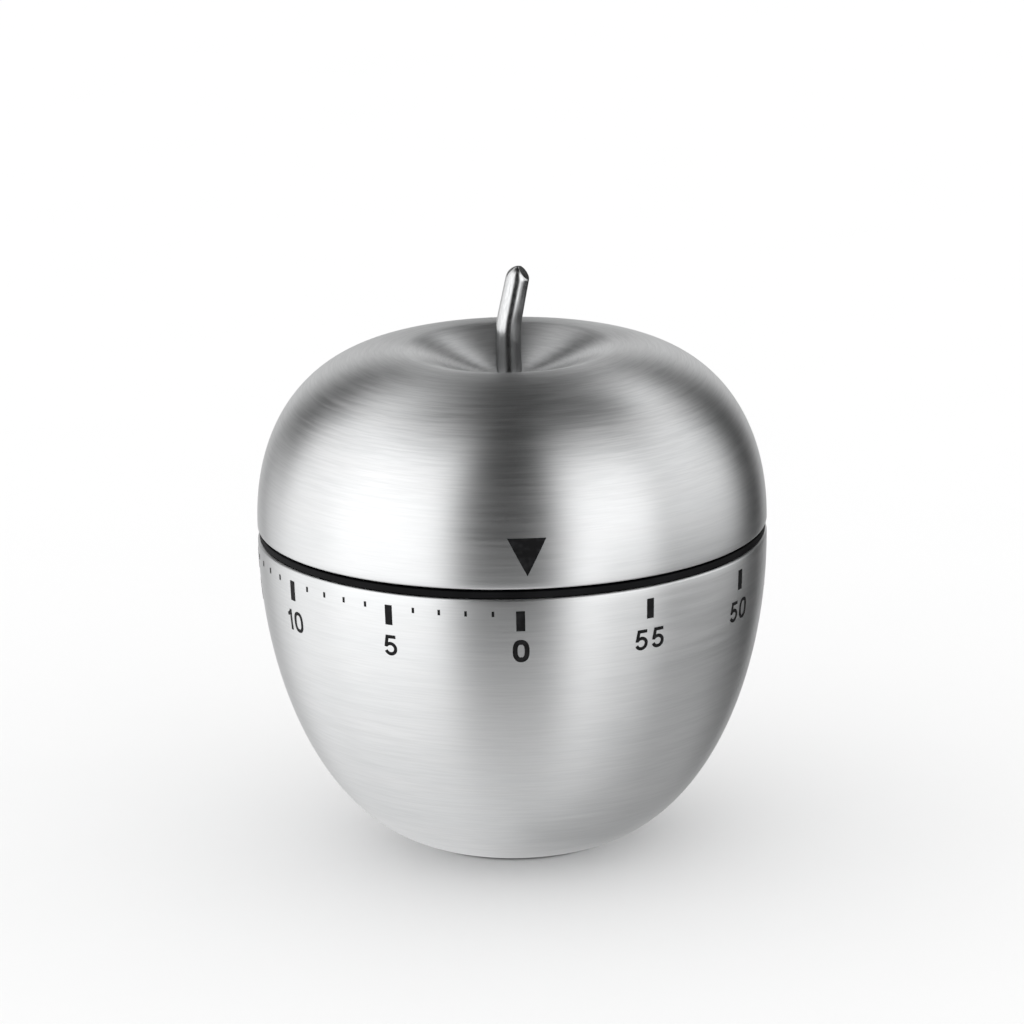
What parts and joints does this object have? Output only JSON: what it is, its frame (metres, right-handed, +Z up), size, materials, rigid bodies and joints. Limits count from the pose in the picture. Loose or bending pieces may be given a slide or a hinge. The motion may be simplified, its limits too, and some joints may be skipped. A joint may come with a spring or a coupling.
{
  "type": "mechanical kitchen timer",
  "caption": "Apple-shaped wind-up kitchen timer: brushed steel dome turns on a fixed bowl around a black seam, with a bent stem, a geared movement and a bell inside.",
  "frame": {"origin": "centre of the foot's flat face, on the surface that the timer stands on", "axes": "+Z up along the dial's axis; -Y towards the user, where the scale's zero faces; +X to the user's right, the side that the stem bends to"},
  "size_m": [0.063, 0.063, 0.0729],
  "materials": {
    "brushed_shell": "brushed in circles round the vertical axis",
    "polished_stem": "polished",
    "plated_steel": "zinc-plated",
    "spring_steel": "blued",
    "movement_brass": "satin",
    "black_plastic": "matte",
    "pad_rubber": "matte"
  },
  "bodies": {
    "base": {"lower_shell": "brushed_shell", "base_cover": "black_plastic", "foot_pad": "pad_rubber", "base_screw_1": "plated_steel", "base_screw_2": "plated_steel", "base_screw_3": "plated_steel", "inner_cup": "black_plastic", "inner_cover": "black_plastic", "base_plate": "plated_steel", "top_plate": "plated_steel", "pillar_1": "movement_brass", "pillar_2": "movement_brass", "pillar_3": "movement_brass", "pillar_4": "movement_brass", "pillar_nut_1": "plated_steel", "pillar_nut_2": "plated_steel", "pillar_nut_3": "plated_steel", "pillar_nut_4": "plated_steel", "mount_screw_1": "plated_steel", "mount_screw_2": "plated_steel", "mount_screw_3": "plated_steel", "bell": "plated_steel", "bell_post": "movement_brass", "bell_screw": "plated_steel", "lever_post": "plated_steel", "trip_spring": "spring_steel"},
    "dial": {"upper_shell": "brushed_shell", "stem": "polished_stem", "stem_washer": "plated_steel", "stem_nut": "plated_steel", "dial_insert": "black_plastic", "main_arbor": "plated_steel", "trip_cam": "movement_brass", "main_wheel": "movement_brass", "ratchet_wheel": "plated_steel", "click": "spring_steel", "click_spring": "spring_steel"},
    "second": {"second_pinion": "plated_steel", "second_wheel": "movement_brass"},
    "third": {"third_pinion": "plated_steel", "third_wheel": "movement_brass"},
    "escape": {"escape_pinion": "plated_steel", "escape_wheel": "movement_brass"},
    "verge": {"verge_arbor": "plated_steel", "verge_pallets": "plated_steel", "balance_weight": "movement_brass"},
    "spring_barrel": {"barrel": "movement_brass", "barrel_lid": "movement_brass", "mainspring": "spring_steel"},
    "alarm": {"alarm_pinion": "plated_steel", "star_wheel": "movement_brass", "lock_disc": "movement_brass"},
    "hammer": {"hammer_arbor": "plated_steel", "hammer_arm": "plated_steel", "hammer_head": "movement_brass"},
    "lever": {"trip_lever": "plated_steel"}
  },
  "joints": [
    {"name": "dial_turn", "type": "hinge", "parent": "base", "child": "dial", "pos_m": [0, 0, 0.04], "axis": [0, 0, 1], "range_deg": [-354, 0]},
    {"name": "second_spin", "type": "hinge", "parent": "base", "child": "second", "pos_m": [0, 0.01268, 0.03], "axis": [0, 0, 1], "continuous": true},
    {"name": "third_spin", "type": "hinge", "parent": "base", "child": "third", "pos_m": [-0.00975, 0.01083, 0.03], "axis": [0, 0, 1], "continuous": true},
    {"name": "escape_spin", "type": "hinge", "parent": "base", "child": "escape", "pos_m": [-0.01566, 0.00644, 0.03], "axis": [0, 0, 1], "continuous": true},
    {"name": "verge_swing", "type": "hinge", "parent": "base", "child": "verge", "pos_m": [-0.01791, 0.00045, 0.03], "axis": [0, 0, 1], "range_deg": [-4, 4]},
    {"name": "barrel_turn", "type": "hinge", "parent": "base", "child": "spring_barrel", "pos_m": [0, 0, 0.025], "axis": [0, 0, 1], "continuous": true},
    {"name": "alarm_spin", "type": "hinge", "parent": "base", "child": "alarm", "pos_m": [0.00634, -0.01098, 0.025], "axis": [0, 0, 1], "continuous": true},
    {"name": "hammer_swing", "type": "hinge", "parent": "base", "child": "hammer", "pos_m": [0.00938, -0.00542, 0.02], "axis": [0, 0, 1], "range_deg": [-4.5, 4.5]},
    {"name": "trip_lever_swing", "type": "hinge", "parent": "base", "child": "lever", "pos_m": [-0.00181, -0.01287, 0.034], "axis": [0, 0, 1], "range_deg": [0, 4], "stiffness_Nm_per_rad": 0.0005}
  ],
  "couplings": [
    {"joint": "second_spin", "follows": "dial_turn", "ratio": -6},
    {"joint": "third_spin", "follows": "dial_turn", "ratio": 30},
    {"joint": "escape_spin", "follows": "dial_turn", "ratio": -135},
    {"joint": "alarm_spin", "follows": "barrel_turn", "ratio": -6}
  ]
}
